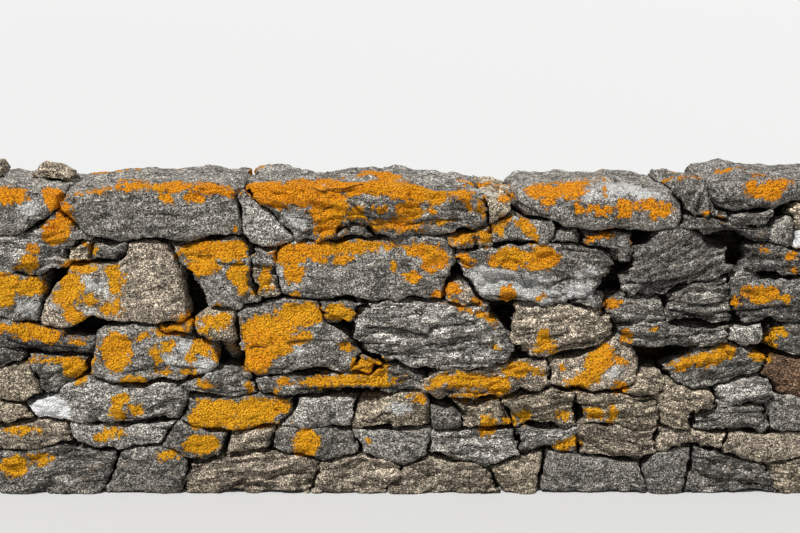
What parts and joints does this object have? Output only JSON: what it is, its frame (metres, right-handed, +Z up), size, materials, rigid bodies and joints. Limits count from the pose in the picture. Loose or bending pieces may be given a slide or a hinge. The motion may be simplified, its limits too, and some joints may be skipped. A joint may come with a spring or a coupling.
{
  "type": "dry stone wall",
  "caption": "Free-standing dry stone wall of irregular coursed rubble with large cap stones, pinnings, plain built ends and a packed core.",
  "frame": {"origin": "middle of the wall's base on the ground", "axes": "+X along the wall, -Y towards the front face, +Z up"},
  "size_m": [2.9996, 0.6542, 0.9868],
  "materials": {
    "cap_stone": "weathered, with orange crust",
    "face_stone": "weathered, with orange crust",
    "pinning_stone": "weathered",
    "core_stone": "rough"
  },
  "bodies": {
    "root": {"cap_stone_1": "cap_stone", "cap_stone_2": "cap_stone", "cap_stone_3": "cap_stone", "cap_stone_4": "cap_stone", "cap_stone_5": "cap_stone", "cap_wedges": "pinning_stone", "left_end_stones": "face_stone", "right_end_stones": "face_stone", "front_footings": "face_stone", "front_first_course": "face_stone", "front_second_course": "face_stone", "front_third_course": "face_stone", "front_fourth_course": "face_stone", "front_fifth_course": "face_stone", "front_levelling_course": "face_stone", "front_pinnings": "pinning_stone", "back_footings": "face_stone", "back_first_course": "face_stone", "back_second_course": "face_stone", "back_third_course": "face_stone", "back_fourth_course": "face_stone", "back_fifth_course": "face_stone", "back_levelling_course": "face_stone", "back_pinnings": "pinning_stone", "lower_hearting": "core_stone", "middle_hearting": "core_stone", "upper_hearting": "core_stone", "loose_top_stones": "pinning_stone"}
  },
  "joints": []
}
